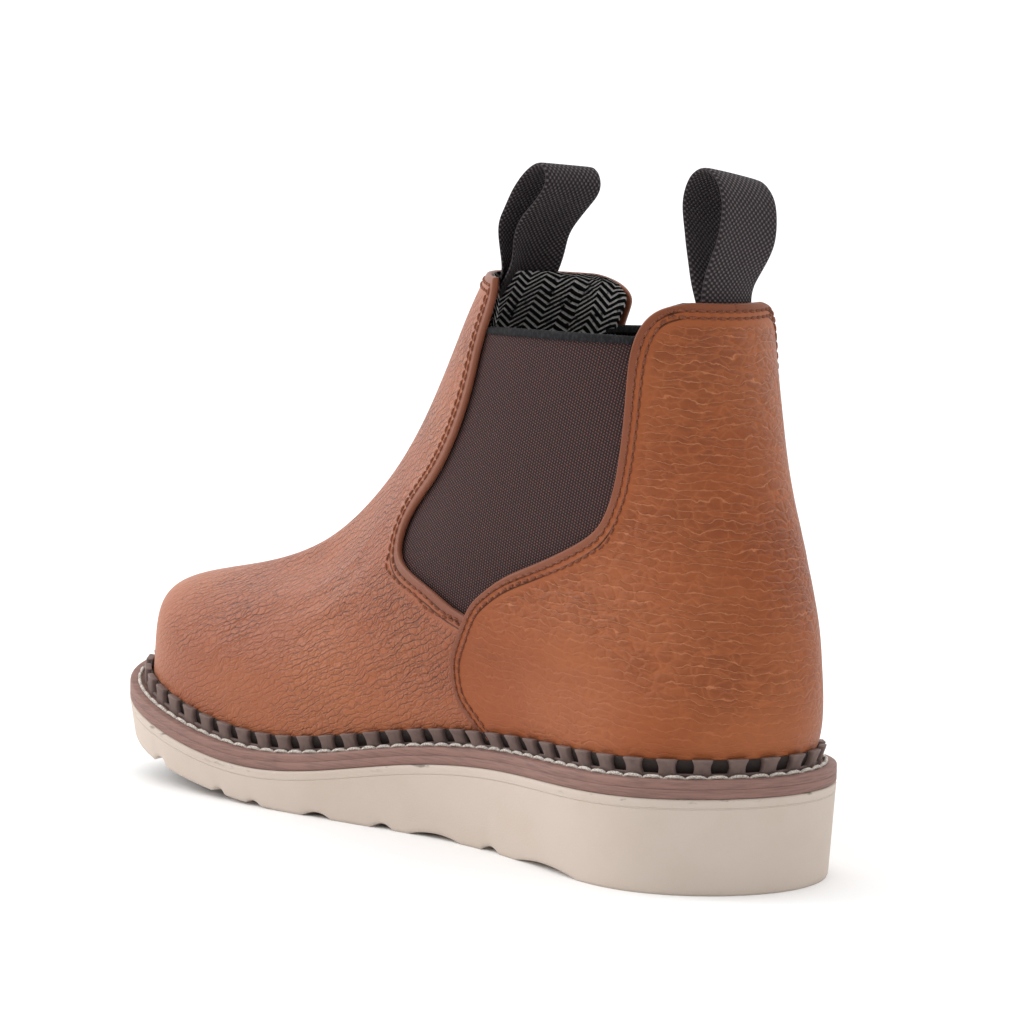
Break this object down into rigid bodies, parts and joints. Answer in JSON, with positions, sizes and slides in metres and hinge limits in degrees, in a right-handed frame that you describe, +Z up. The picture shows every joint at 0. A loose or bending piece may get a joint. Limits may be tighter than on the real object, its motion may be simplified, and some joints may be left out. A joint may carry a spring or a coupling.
{
  "type": "wedge sole work boot",
  "caption": "Right pull-on ankle work boot in tan leather with elastic side gores, webbing pull loops, toothed storm welt and flat foam wedge sole.",
  "frame": {"origin": "on the floor under the middle of the boot's length and width", "axes": "+X towards the toe, +Y towards the boot's left (inner) side, +Z up; the boot stands on its sole"},
  "size_m": [0.305, 0.108, 0.2112],
  "materials": {
    "foam_sole": "matt off-white foamed rubber with faint specks",
    "brown_rubber": "matt brown rubber",
    "footbed": "black textile footbed",
    "tan_leather": "pebbled oiled full-grain leather, cognac tan",
    "elastic": "dark brown woven elastic",
    "webbing": "charcoal brown woven webbing"
  },
  "bodies": {
    "root": {"outsole": "foam_sole", "midsole": "brown_rubber", "welt": "brown_rubber", "insole": "footbed", "upper": "tan_leather", "gore_left": "elastic", "gore_right": "elastic", "pull_loop_back": "webbing", "pull_loop_front": "webbing"}
  },
  "joints": []
}
